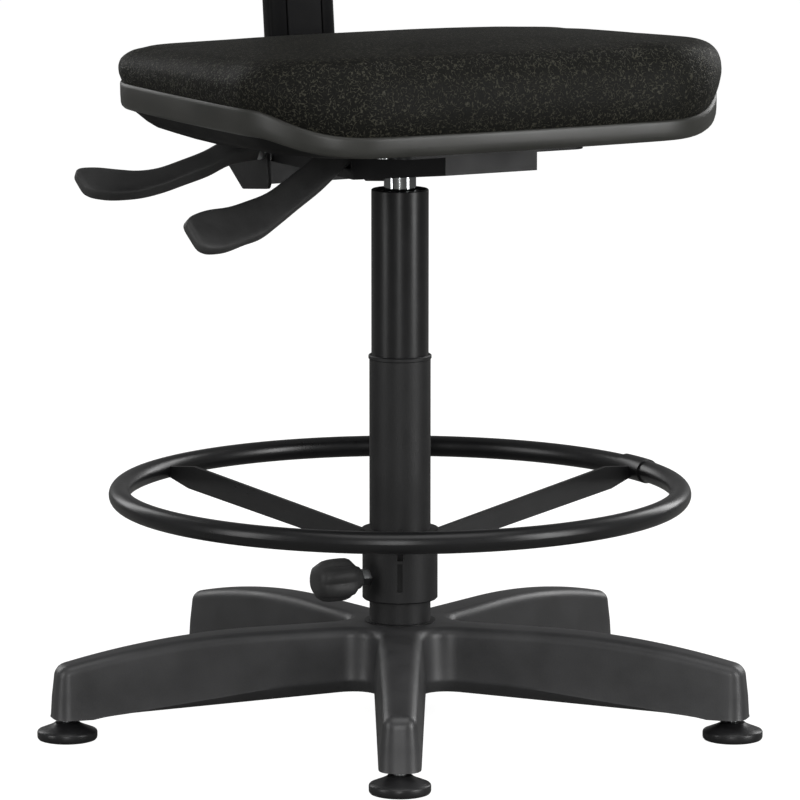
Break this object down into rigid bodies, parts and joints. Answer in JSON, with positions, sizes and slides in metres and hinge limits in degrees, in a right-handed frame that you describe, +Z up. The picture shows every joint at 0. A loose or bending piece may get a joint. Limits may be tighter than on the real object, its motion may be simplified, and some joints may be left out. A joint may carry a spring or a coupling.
{
  "type": "drafting chair",
  "caption": "Tall swivel drafting chair: star base on glides, sliding foot ring, gas lift column, lever mechanism, padded seat and height-adjustable backrest.",
  "frame": {"origin": "on the floor under the column axis", "axes": "+Z up along the column; the sitter faces -Y, so the sitter's right is -X"},
  "size_m": [0.6208, 0.6176, 1.1157],
  "materials": {
    "moulded_nylon": "moulded glass-filled nylon, satin",
    "glide_nylon": "moulded nylon, satin",
    "zinc_plate": "bright zinc-plated steel",
    "textured_coat": "fine-textured black powder coat",
    "gloss_coat": "gloss black powder coat",
    "satin_coat": "satin black powder coat",
    "bush_nylon": "acetal, natural black",
    "bright_steel": "ground steel",
    "spring_steel": "oil-tempered spring wire",
    "rubber": "moulded rubber",
    "chrome": "hard chrome",
    "shell_plastic": "injection-moulded polypropylene",
    "lever_plastic": "moulded polypropylene, fine texture",
    "cover_plastic": "moulded polypropylene, satin",
    "plywood": "bent birch plywood",
    "vinyl": "grained vinyl over moulded foam"
  },
  "bodies": {
    "base": {"star_base": "moulded_nylon", "glide_pads": "glide_nylon", "glide_stems": "zinc_plate", "hub_sleeve": "zinc_plate", "extender_tube": "textured_coat", "column_tube": "gloss_coat", "guide_bush": "bush_nylon", "bearing_lower_washer": "bright_steel", "bearing_balls": "bright_steel", "bearing_cage": "bush_nylon"},
    "swivel_rod": {"gas_rod": "bright_steel", "rod_clip": "bright_steel", "bearing_upper_washer": "bright_steel", "lift_buffer": "rubber", "gas_piston": "bright_steel"},
    "seat_frame": {"gas_cylinder": "chrome", "rod_guide": "bush_nylon", "valve_body": "bright_steel", "mechanism_pan": "satin_coat", "seat_plate": "satin_coat", "taper_socket": "satin_coat", "pan_brace": "satin_coat", "lever_ears": "satin_coat", "lift_lever_pin": "zinc_plate", "clamp_rod": "zinc_plate", "clamp_washer": "zinc_plate", "recline_pin": "zinc_plate", "friction_discs": "bright_steel", "back_springs": "spring_steel", "seat_shell": "shell_plastic", "seat_board": "plywood", "seat_cushion": "vinyl", "seat_screws": "zinc_plate", "tee_nuts": "zinc_plate"},
    "gas_release": {"release_pin": "bright_steel"},
    "lift_handle": {"lift_bar": "satin_coat", "lift_lever": "lever_plastic"},
    "recline_handle": {"recline_cam": "satin_coat", "recline_lever": "lever_plastic"},
    "upright": {"back_bracket": "satin_coat", "upright_bar": "satin_coat", "upright_front_cover": "cover_plastic", "upright_rear_cover": "cover_plastic", "cover_screws": "zinc_plate"},
    "backrest": {"back_board": "plywood", "back_cushion": "vinyl", "back_guide": "bush_nylon", "back_shell": "shell_plastic", "back_guide_screws": "zinc_plate"},
    "ring_carrier": {"collar_liner": "bush_nylon"},
    "ring": {"foot_ring": "gloss_coat", "ring_joint_sleeve": "gloss_coat", "ring_spokes": "gloss_coat", "ring_collar": "textured_coat", "collar_nut": "zinc_plate"},
    "ring_knob": {"knob_stud": "zinc_plate", "clamp_knob": "lever_plastic"}
  },
  "joints": [
    {"name": "seat_swivel", "type": "hinge", "parent": "base", "child": "swivel_rod", "pos_m": [0, 0, 0.2], "axis": [0, 0, 1], "continuous": true},
    {"name": "seat_height", "type": "slide", "parent": "swivel_rod", "child": "seat_frame", "axis": [0, 0, 1], "range_m": [0, 0.125]},
    {"name": "lift_lever_rock", "type": "hinge", "parent": "seat_frame", "child": "lift_handle", "pos_m": [-0.046, 0, 0.5079], "axis": [0, 1, 0], "range_deg": [0, 4], "stiffness_Nm_per_rad": 3, "springref_deg": -6.88},
    {"name": "release_pin_travel", "type": "slide", "parent": "seat_frame", "child": "gas_release", "axis": [0, 0, 1], "range_m": [-0.0034, 0]},
    {"name": "recline_lever_swing", "type": "hinge", "parent": "seat_frame", "child": "recline_handle", "pos_m": [-0.073, 0.144, 0.495], "axis": [0, 1, 0], "range_deg": [0, 12]},
    {"name": "back_recline", "type": "hinge", "parent": "seat_frame", "child": "upright", "pos_m": [0, 0.144, 0.495], "axis": [1, 0, 0], "range_deg": [-16, 2]},
    {"name": "back_height", "type": "slide", "parent": "upright", "child": "backrest", "axis": [0, 0.1045, 0.9945], "range_m": [0, 0.07]},
    {"name": "ring_height", "type": "slide", "parent": "base", "child": "ring_carrier", "axis": [0, 0, 1], "range_m": [-0.015, 0.145]},
    {"name": "ring_turn", "type": "hinge", "parent": "ring_carrier", "child": "ring", "pos_m": [0, 0, 0.136], "axis": [0, 0, 1], "continuous": true},
    {"name": "knob_turn", "type": "hinge", "parent": "ring", "child": "ring_knob", "pos_m": [-0.05996, -0.00209, 0.128], "axis": [-0.9994, -0.0349, 0], "range_deg": [0, 360]}
  ],
  "couplings": [
    {"joint": "release_pin_travel", "follows": "lift_lever_rock", "m_per_rad": -0.046}
  ]
}
